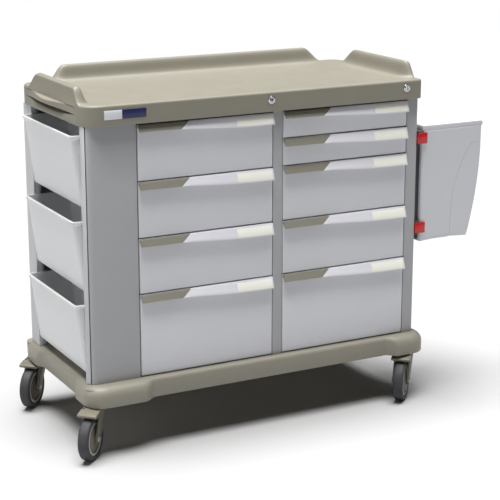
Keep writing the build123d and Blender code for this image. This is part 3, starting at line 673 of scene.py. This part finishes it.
def gridTree():
    tree = bpy.data.node_groups.new("repeatOnGrid", "GeometryNodeTree")
    face = tree.interface
    face.new_socket("Geometry", in_out="INPUT", socket_type="NodeSocketGeometry")
    face.new_socket("Item", in_out="INPUT", socket_type="NodeSocketObject")
    for label, kind in (("Columns", "Int"), ("Rows", "Int"), ("Width", "Float"), ("Height", "Float"),
                        ("Turn Spread", "Float"), ("Seed", "Int")):
        face.new_socket(label, in_out="INPUT", socket_type="NodeSocket" + kind)
    face.new_socket("Place", in_out="INPUT", socket_type="NodeSocketVector")
    face.new_socket("Tilt", in_out="INPUT", socket_type="NodeSocketVector")
    face.new_socket("Material", in_out="INPUT", socket_type="NodeSocketMaterial")
    face.new_socket("Geometry", in_out="OUTPUT", socket_type="NodeSocketGeometry")
    nodes = tree.nodes
    link = tree.links.new
    start = nodes.new("NodeGroupInput")
    grid = nodes.new("GeometryNodeMeshGrid")
    link(start.outputs["Columns"], grid.inputs["Vertices X"])
    link(start.outputs["Rows"], grid.inputs["Vertices Y"])
    link(start.outputs["Width"], grid.inputs["Size X"])
    link(start.outputs["Height"], grid.inputs["Size Y"])
    item = nodes.new("GeometryNodeObjectInfo")
    link(start.outputs["Item"], item.inputs["Object"])
    spin = nodes.new("FunctionNodeRandomValue")
    spin.data_type = "FLOAT_VECTOR"
    spinEnd = nodes.new("ShaderNodeCombineXYZ")
    link(start.outputs["Turn Spread"], spinEnd.inputs["Z"])
    link(spinEnd.outputs[0], spin.inputs["Max"])
    link(start.outputs["Seed"], spin.inputs["Seed"])
    spin.inputs["Min"].default_value = (0, 0, 0)
    place = nodes.new("GeometryNodeInstanceOnPoints")
    link(grid.outputs["Mesh"], place.inputs["Points"])
    link(item.outputs["Geometry"], place.inputs["Instance"])
    link(spin.outputs[0], place.inputs["Rotation"])
    move = nodes.new("GeometryNodeTransform")
    link(place.outputs["Instances"], move.inputs["Geometry"])
    link(start.outputs["Place"], move.inputs["Translation"])
    link(start.outputs["Tilt"], move.inputs["Rotation"])
    real = nodes.new("GeometryNodeRealizeInstances")
    link(move.outputs["Geometry"], real.inputs["Geometry"])
    paint = nodes.new("GeometryNodeSetMaterial")
    link(real.outputs["Geometry"], paint.inputs["Geometry"])
    link(start.outputs["Material"], paint.inputs["Material"])
    end = nodes.new("NodeGroupOutput")
    link(paint.outputs["Geometry"], end.inputs["Geometry"])
    return tree


repeatTree = gridTree()


def repeatItem(name, itemMesh, material, body, slot, replaced=(), **values):
    item = bpy.data.objects.new(name + "Item", itemMesh)
    holder = bpy.data.objects.new(name + "Holder", bpy.data.meshes.new(name + "Holder"))
    bpy.context.scene.collection.objects.link(holder)
    modifier = holder.modifiers.new("repeat", "NODES")
    modifier.node_group = repeatTree
    inputs = [socket for socket in repeatTree.interface.items_tree if socket.in_out == "INPUT"]
    sockets = {socket.name: socket.identifier for socket in inputs}
    values = dict(values, Item=item, Material=finish[material])
    for label, value in values.items():
        modifier[sockets[label.replace("_", " ")]] = value
    depsgraph = bpy.context.evaluated_depsgraph_get()
    mesh = bpy.data.meshes.new_from_object(holder.evaluated_get(depsgraph))
    mesh.name = name
    holder.modifiers.remove(modifier)
    bpy.data.objects.remove(holder)
    bpy.data.objects.remove(item)
    return addPiece(name, mesh, material, body, replaced)


screwSizes = {"radius": 5 * mm, "head": 2.5 * mm, "columns": 5, "rows": 3}


def screwHead():
    # a domed head with a sunk middle, pointing along +Z
    size = screwSizes
    radius, head = size["radius"], size["head"]
    profile = [(0, head * 0.55), (1.6 * mm, head * 0.55), (1.9 * mm, head), (radius * 0.72, head * 0.92),
               (radius * 0.93, head * 0.6), (radius, head * 0.25), (radius, 0), (0, 0)]
    return meshFrom(turned(profile, (0, 0, 0), (0, 0, 1), 28), "screwHead")


def makeScrews():
    size = screwSizes
    low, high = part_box("panel_screws")
    width = high.x - low.x - 2 * size["radius"]
    height = high.z - low.z - 2 * size["radius"]
    repeatItem("rear_panel_screws", screwHead(), "zinc", "root", "slide_steel", ("panel_screws",),
               Columns=size["columns"], Rows=size["rows"], Width=width, Height=height,
               Turn_Spread=2 * pi, Seed=7, Place=((low.x + high.x) / 2, low.y, (low.z + high.z) / 2),
               Tilt=(-pi / 2, 0.0, 0.0))


makeScrews()
print("cabinet done")


# drawers

drawerSizes = {
    "edge": 2.4 * mm, "reach": 15 * mm, "dropLeft": 20 * mm, "dropRight": 33 * mm,
    "jointTop": 154 * mm, "jointFoot": 125 * mm, "jointGap": 0.5 * mm, "labelLength": 112 * mm,
    "labelInset": 6 * mm, "labelRise": 0.7 * mm, "stations": 26,
}


def gripDrop(t):
    size = drawerSizes
    gain = size["dropRight"] - size["dropLeft"]
    return size["dropLeft"] + gain * (0.18 * t + 0.82 * smoothStep((t - 0.3) / 0.55))


def gripSection(x, t, top, plane):
    # closed outline of the hooded grip at one place along the drawer
    drop = gripDrop(t) - 0.6 * mm
    reach = drawerSizes["reach"]
    outline = ((0.0, 0.0), (2.2, 0.0), (3.6, 0.35), (4.6, 1.3))
    points = [(x, plane - a * mm, top - b * mm) for a, b in outline]
    for share in (0.25, 0.5, 0.75):
        belly = 0.5 * mm * sin(pi * share)
        out = plane - 4.6 * mm - (reach - 5.4 * mm) * share - belly
        points.append((x, out, top - 1.3 * mm - (drop - 3.0 * mm) * share))
    points.append((x, plane - reach + 0.3 * mm, top - drop + 1.0 * mm))
    points.append((x, plane - reach + 0.6 * mm, top - drop))
    points.append((x, plane - reach + 1.8 * mm, top - drop - 0.2 * mm))
    points.append((x, plane - reach + 3.0 * mm, top - drop + 1.0 * mm))
    points.append((x, plane - 3.5 * mm, top - 6.5 * mm))
    points.append((x, plane, top - 9.0 * mm))
    return points


def makeGrip(name, body, x0, x1, startAt, endAt, top, plane, material):
    rings = []
    count = drawerSizes["stations"]
    for i in range(count + 1):
        ring = []
        share = i / count
        t = (startAt(0) + (endAt(0) - startAt(0)) * share - x0) / (x1 - x0)
        for _, y, z in gripSection(0.0, t, top, plane):
            down = (top - z) / (gripDrop(t) - 0.6 * mm)
            ring.append((startAt(down) + (endAt(down) - startAt(down)) * share, y, z))
        rings.append(ring)
    mesh = meshFrom(loftRings(rings), name)
    return addPiece(name, mesh, material, body, crease=40)


def makeLabelWindow(name, body, x0, x1, top, plane):
    # a thin card holder that lies on the grip's sloping face, near its right-hand end
    size = drawerSizes
    startX = x1 - size["labelInset"] - size["labelLength"]
    rings = []
    for i in range(13):
        x = startX + size["labelLength"] * i / 12
        t = (x - x0) / (x1 - x0)
        section = gripSection(x, t, top, plane)
        upper = Vector(section[3]).lerp(Vector(section[7]), 0.10)
        lower = Vector(section[3]).lerp(Vector(section[7]), 0.93)
        slope = (lower - upper).normalized()
        out = Vector((0, slope.z, -slope.y)).normalized()
        if out.y > 0:
            out = -out
        rise = out * size["labelRise"]
        sunk = out * 0.3 * mm
        belly = out * 0.6 * mm
        middle = (upper + lower) / 2
        ring = [upper - sunk, upper + rise * 0.6, upper + slope * 0.6 * mm + rise, middle + rise + belly,
                lower - slope * 0.6 * mm + rise, lower + rise * 0.6, lower - sunk]
        rings.append(ring)
    mesh = meshFrom(loftRings(rings), name)
    return addPiece(name, mesh, "cream", body, crease=40)


def makeDrawer(body):
    size = drawerSizes
    low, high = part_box(body + "_front")
    plane = low.y + size["reach"]
    bm = roundedBox((low.x, plane, low.z), (high.x, high.y, high.z), size["edge"])
    addPiece(body + "_panel", meshFrom(bm, body), "front", body, (body + "_front",))
    top = high.z - 0.6 * mm
    gap = size["jointGap"]

    def leftEnd(down):
        return low.x + 1.0 * mm

    def joint(down):
        return low.x + size["jointTop"] + (size["jointFoot"] - size["jointTop"]) * down

    def rightEnd(down):
        return high.x - 1.0 * mm

    makeGrip(body + "_grip_left", body, low.x, high.x, leftEnd, lambda d: joint(d) - gap / 2,
             top, plane, "grip")
    makeGrip(body + "_grip_right", body, low.x, high.x, lambda d: joint(d) + gap / 2, rightEnd,
             top, plane, "white")
    makeLabelWindow(body + "_label_card", body, low.x, high.x, top, plane)
    softCopy(body + "_box", body + "_tray", 0.9 * mm, "tray", body)


for bodyName in sorted(frame["bodies"]):
    if "_drawer_" in bodyName:
        makeDrawer(bodyName)
print("drawers done")


# tilt-out bins

binSizes = {
    "foot": 7 * mm, "lean": 26 * mm, "wall": 2.5 * mm, "corner": 10 * mm, "flange": 5 * mm,
    "back": 106 * mm, "sweepOver": 7 * mm, "pinRadius": 4 * mm, "pin": 5 * mm,
}


def makeTiltBin(body):
    size = binSizes
    low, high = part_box(body)
    pivot = Vector(jointOf[body + "_tilt"]["pos_m"])
    y0 = low.y + size["pin"] - 0.5 * mm
    y1 = high.y - size["pin"] + 0.5 * mm
    rim = high.z - pivot.z
    sweep = rim + size["sweepOver"]
    foot = -size["foot"]
    counts = (20, 36, 20, 36)

    def shape(t, inset):
        # plan outline at share t of the height; the rim falls along an arc towards the back
        front = pivot.x - size["foot"] - size["lean"] * t
        back = pivot.x + size["back"]
        radii = (size["corner"],) * 4
        row = []
        for x, y in insetLoop((front, y0), (back, y1), radii, inset, counts, 6):
            reach = min(x - pivot.x, sweep * 0.98)
            arc = (sweep ** 2 - reach ** 2) ** 0.5 if reach > 0 else sweep
            topZ = min(rim, arc)
            row.append((x, y, pivot.z + foot + (topZ - foot) * t))
        return row

    def lifted(row, amount):
        return [(x, y, z + amount) for x, y, z in row]

    wall = size["wall"]
    rings = [shape(0.0, 4.0 * mm), shape(0.0, 1.2 * mm), lifted(shape(0.0, 0.0), 2.0 * mm)]
    rings += [shape(t, 0.0) for t in (0.12, 0.3, 0.5, 0.7, 0.86, 0.945)]
    flange = size["flange"]
    rings += [shape(0.95, -1.2 * mm), shape(0.957, -flange * 0.8), shape(0.965, -flange * 0.96),
              shape(0.99, -flange * 0.96), lifted(shape(1.0, -flange * 0.8), -0.2 * mm),
              shape(1.0, 0.0), lifted(shape(1.0, wall * 0.8), -0.2 * mm)]
    rings += [shape(t, wall) for t in (0.985, 0.8, 0.5, 0.2)]
    rings += [lifted(shape(0.0, wall), 4.5 * mm), lifted(shape(0.0, wall + 2 * mm), 2.6 * mm)]
    bm = loftRings(rings)
    pin = size["pinRadius"]
    profile = [(0, 0), (pin + 3 * mm, 0), (pin + 3 * mm, 0.4 * mm), (pin, 0.5 * mm), (pin, 3.9 * mm),
               (pin - 0.6 * mm, 4.5 * mm), (0, 4.5 * mm)]
    for y, way in ((y0, -1), (y1, 1)):
        turned(profile, (pivot.x, y, pivot.z), (0, way, 0), 28, bm)
    mesh = meshFrom(bm, body + "_tub")
    return addPiece(body + "_tub", mesh, "bin", body, (body,), crease=45)


for number in (1, 2, 3):
    makeTiltBin(f"tilt_bin_{number}")
print("tilt-out bins done")


# waste bin

wasteSizes = {
    "topLength": 218 * mm, "bottomLength": 176 * mm, "seamBottom": 109 * mm, "seamTop": 184 * mm,
    "hingeOverSeam": 1.0 * mm, "wall": 3 * mm, "corner": 9 * mm, "gap": 0.5 * mm,
}


def makeWasteBin():
    size = wasteSizes
    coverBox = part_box("waste_bin_cover")
    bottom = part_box("waste_bin_body")[0].z
    hinge = Vector(jointOf["waste_lid_hinge"]["pos_m"])
    x0 = coverBox[1].x - size["topLength"]
    y0 = coverBox[0].y
    y1 = coverBox[1].y
    ledge = coverBox[1].z
    counts = (14, 12, 14, 12)
    side = size["corner"]
    sharp = 1.0 * mm

    def seamX(t):
        return x0 + size["seamBottom"] + (size["seamTop"] - size["seamBottom"]) * t ** 3.15

    def outerX(t):
        return x0 + size["topLength"] - (size["topLength"] - size["bottomLength"]) * (1 - t) ** 1.85

    def row(startX, endX, z, inset, radii):
        return [(x, y, z) for x, y in insetLoop((startX, y0), (endX, y1), radii, inset, counts, 5)]

    lower = (side, sharp, sharp, side)
    whole = (side,) * 4
    wall = size["wall"]
    top = hinge.z - size["hingeOverSeam"]
    rings = [row(x0, seamX(0), bottom, 4 * mm, lower), row(x0, seamX(0), bottom, 1.2 * mm, lower),
             row(x0, seamX(0), bottom + 2 * mm, 0, lower)]
    for k in range(1, 17):
        t = k / 16
        rings.append(row(x0, seamX(t), bottom + (ledge - bottom) * t, 0, lower))
    full = x0 + size["topLength"]
    rings += [row(x0, full, ledge + 0.2 * mm, 0, whole), row(x0, full, ledge + 1.2 * mm, 0, whole),
              row(x0, full, top - 6 * mm, 0, whole), row(x0, full, top - 0.5 * mm, 0, whole),
              row(x0, full, top, 0.4 * mm, whole), row(x0, full, top, wall - 0.4 * mm, whole),
              row(x0, full, top - 1.0 * mm, wall, whole), row(x0, full, ledge + wall, wall, whole)]
    for k in range(16, 0, -1):
        t = k / 16
        rings.append(row(x0, seamX(t) - 0.1 * mm, bottom + (ledge - bottom) * t - 0.2 * mm, wall, lower))
    rings.append(row(x0, seamX(0), bottom + wall, wall, lower))
    for ring in rings[:3]:
        ring[:] = [(x, y, z + concave(x, x0, outerX(0))) for x, y, z in ring]
    bm = loftRings(rings)
    lug = [(0, 0), (4.4 * mm, 0), (5 * mm, 0.6 * mm), (5 * mm, 5.4 * mm), (4.4 * mm, 6 * mm), (0, 6 * mm)]
    for start in knuckleStarts(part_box("waste_bin_lid")):
        for begin in (start - 6.5 * mm, start + 19.5 * mm):
            turned(lug, (hinge.x, begin, hinge.z), (0, 1, 0), 28, bm)
            roundedBox((hinge.x - 4.5 * mm, begin, top - 13 * mm),
                       (x0 + 2 * mm, begin + 6 * mm, top - 0.3 * mm), 0.6 * mm, 2, bm)
        turned([(0, 0), (2.5 * mm, 0), (2.5 * mm, 20 * mm), (0, 20 * mm)],
               (hinge.x, start - 0.5 * mm, hinge.z), (0, 1, 0), 20, bm)
    mesh = meshFrom(bm, "waste_bin_tub")
    addPiece("waste_bin_tub", mesh, "waste", "root", ("waste_bin_body",), crease=40)

    cover = (sharp, side, side, sharp)
    rings = []
    for k in range(17):
        t = k / 16
        z = bottom + (ledge - bottom) * t
        rings.append(row(seamX(t) + size["gap"], outerX(t), z, 0 if 0 < k < 16 else 0.6 * mm, cover))
    rings[0] = [(x, y, z + concave(x, x0, outerX(0))) for x, y, z in rings[0]]
    mesh = meshFrom(loftRings(rings), "waste_bin_shell")
    addPiece("waste_bin_shell", mesh, "waste", "root", ("waste_bin_cover",), crease=40)


def concave(x, start, end):
    # the bottom edge rises slightly in the middle
    share = min(1.0, max(0.0, (x - start) / (end - start)))
    return 5 * mm * sin(pi * share)


def knuckleStarts(lid):
    depth = lid[1].y - lid[0].y
    return (lid[0].y + 36.5 * mm, lid[0].y + depth - 55.5 * mm)


makeWasteBin()
softCopy("waste_bin_flap", "waste_bin_lid", 0.7 * mm, "waste", "waste_bin_lid")
softCopy("waste_bin_mount", "waste_bin_bracket", 0.8 * mm, "lining", "root")
softCopy("lower_clip_lever", "lower_clip", 1.2 * mm, "red", "lower_clip")
softCopy("upper_clip_lever", "upper_clip", 1.2 * mm, "red", "upper_clip")
print("waste bin done")


# locks and label

softCopy("lock_bodies", "lock_barrels", 0.6 * mm, "chrome", "root")
softCopy("left_lock_core", "left_lock_plug", 0.4 * mm, "chrome", "left_lock_plug")
softCopy("right_lock_core", "right_lock_plug", 0.4 * mm, "chrome", "right_lock_plug")

labelSizes = {"frame": 1.6 * mm, "whiteShare": 0.42, "round": 0.5 * mm}


def makeLabel():
    size = labelSizes
    low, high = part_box("label_plate")
    split = low.x + (high.x - low.x) * size["whiteShare"]
    back = high.y
    bm = roundedBox(low, (high.x, back, high.z), size["round"], 2)
    addPiece("label_frame", meshFrom(bm, "label_frame"), "plate", "root", ("label_plate",))
    inset = size["frame"]
    front = low.y - 0.5 * mm
    for name, start, end, edge, material in (
        ("label_left_field", low.x + inset, split - 0.4 * mm, inset, "plate"),
        ("label_right_field", split, high.x + 0.1 * mm, -0.1 * mm, "navy"),
    ):
        bm = roundedBox((start, front, low.z + edge), (end, back - 0.3 * mm, high.z - edge), 0.4 * mm, 2)
        addPiece(name, meshFrom(bm, name), material, "root")


makeLabel()


# casters

wheelSizes = {
    "steps": 72,
    # half profiles about the wheel's middle plane: radius and distance along the axle, in millimetres
    "tread": ((47, -13.6), (50, -14.8), (54, -15.8), (57.5, -15.4), (60.3, -13.4), (61.8, -10.4),
              (62.3, -6.5), (62.5, -2.5)),
    "disc": ((5.05, -19), (9, -19), (11.5, -18.4), (12.6, -17.2), (13, -16.6), (20, -16.4), (28, -15.4),
             (34, -13.6), (38, -11.6), (40.4, -10.2), (41, -12.4), (46.9, -12.8)),
    "ring": ((40.8, 12.0), (41.2, 13.6), (42.2, 14.3), (45.6, 14.5), (46.8, 14.0), (47.1, 12.0),
             (40.8, 12.0)),
    "nut": ((0, 24.9), (7.0, 24.9), (7.6, 25.6), (6.6, 27.4), (3, 28.2), (0, 28.3)),
}


def scaled(profile, side=1):
    return [(radius * mm, side * along * mm) for radius, along in profile]


def closedRing(profile):
    # a half profile, its mirror image and its first point again
    half = scaled(profile)
    return half + [(radius, -along) for radius, along in reversed(half)] + half[:1]


def makeCaster(corner):
    size = wheelSizes
    low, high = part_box(corner + "_tyre")
    centre = (low + high) / 2
    axis = jointOf[corner + "_roll"]["axis"]
    steps = size["steps"]

    def add(part, mesh, material, group, node=None, crease=32):
        replaced = (corner + node,) if node else ()
        addPiece(corner + part, mesh, material, corner + group, replaced, crease=crease)

    mesh = meshFrom(turned(closedRing(size["tread"]), centre, axis, steps), corner + "_tread")
    add("_tread", mesh, "tyre", "_wheel", "_tyre", 50)
    mesh = meshFrom(turned(closedRing(size["disc"]), centre, axis, steps), corner + "_disc")
    add("_disc", mesh, "caster", "_wheel", "_wheel", 40)
    bm = bmesh.new()
    for side in (-1, 1):
        turned(scaled(size["ring"], side), centre, axis, steps, bm)
    add("_ring", meshFrom(bm, corner + "_ring"), "ring", "_wheel")
    bm = bmesh.new()
    for side in (-1, 1):
        turned(scaled(size["nut"], side), centre, axis, 24, bm)
    add("_axle_caps", meshFrom(bm, corner + "_axle_caps"), "zinc", "_caster")
    softCopy(corner + "_fork_shell", corner + "_caster_fork", 1.6 * mm, "caster",
             corner + "_caster")
    softCopy(corner + "_brake_lever", corner + "_brake_pedal", 1.0 * mm, "pedal",
             corner + "_pedal")


for cornerName in corners:
    makeCaster(cornerName)
print("casters done")


# floor, light and camera

studioSizes = {"floor": 14.0, "target": (-0.068, -0.1216, 0.505), "distance": 4.5,
               "heading": 27.83, "pitch": 15.0, "lens": 110.48, "glow": 0.06,
               "topPower": 7.2, "leftPower": 13.0}


def makeStudio():
    size = studioSizes
    floorMesh = bpy.data.meshes.new("floor")
    half = size["floor"] / 2
    square = [(-half, -half, 0), (half, -half, 0), (half, half, 0), (-half, half, 0)]
    floorMesh.from_pydata(square, [], [(0, 1, 2, 3)])
    floor = bpy.data.objects.new("floor", floorMesh)
    bpy.context.scene.collection.objects.link(floor)
    material = bpy.data.materials.new("floorPaint")
    material.use_nodes = True
    shader = material.node_tree.nodes["Principled BSDF"]
    noise = addNode(material.node_tree, "TexNoise", values={"Scale": 3.0, "Detail": 2.0})
    ramp = addNode(material.node_tree, "ValToRGB")
    ramp.color_ramp.elements[0].color = (0.44, 0.44, 0.44, 1)
    ramp.color_ramp.elements[1].color = (0.47, 0.47, 0.47, 1)
    material.node_tree.links.new(noise.outputs["Fac"], ramp.inputs["Fac"])
    material.node_tree.links.new(ramp.outputs["Color"], shader.inputs["Base Color"])
    shader.inputs["Roughness"].default_value = 0.7
    floorMesh.materials.append(material)

    world = bpy.data.worlds.new("studio")
    bpy.context.scene.world = world
    world.use_nodes = True
    sky = world.node_tree
    glow = sky.nodes["Background"]
    glow.inputs["Color"].default_value = (1, 1, 1, 1)
    glow.inputs["Strength"].default_value = size["glow"]
    backdrop = addNode(sky, "Background", values={"Color": (1, 1, 1, 1), "Strength": 1.0})
    rays = addNode(sky, "LightPath")
    choose = addNode(sky, "MixShader")
    sky.links.new(rays.outputs["Is Camera Ray"], choose.inputs[0])
    sky.links.new(glow.outputs[0], choose.inputs[1])
    sky.links.new(backdrop.outputs[0], choose.inputs[2])
    sky.links.new(choose.outputs[0], sky.nodes["World Output"].inputs["Surface"])
    for name, kind, place, spread, power in (
        ("topLight", "SUN", (-0.2, 0.0, 4.0), radians(42), size["topPower"]),
        ("leftLight", "AREA", (-3.4, -0.2, 1.5), 1.8, size["leftPower"]),
    ):
        light = bpy.data.lights.new(name, kind)
        if kind == "SUN":
            light.angle = spread
        else:
            light.size = spread
        light.energy = power
        lamp = bpy.data.objects.new(name, light)
        bpy.context.scene.collection.objects.link(lamp)
        lamp.location = place
        lamp.rotation_euler = (Vector((0, 0, 0.5)) - Vector(place)).to_track_quat("-Z", "Y").to_euler()

    camera = bpy.data.cameras.new("camera")
    camera.lens = size["lens"]
    camera.sensor_width = 36
    eye = bpy.data.objects.new("camera", camera)
    bpy.context.scene.collection.objects.link(eye)
    heading, pitch = radians(size["heading"]), radians(size["pitch"])
    ahead = Vector((sin(heading) * cos(pitch), cos(heading) * cos(pitch), -sin(pitch)))
    eye.location = Vector(size["target"]) - ahead * size["distance"]
    eye.rotation_euler = (radians(90) - pitch, 0, -heading)
    bpy.context.scene.camera = eye
    bpy.context.scene.view_settings.view_transform = "Standard"


makeStudio()
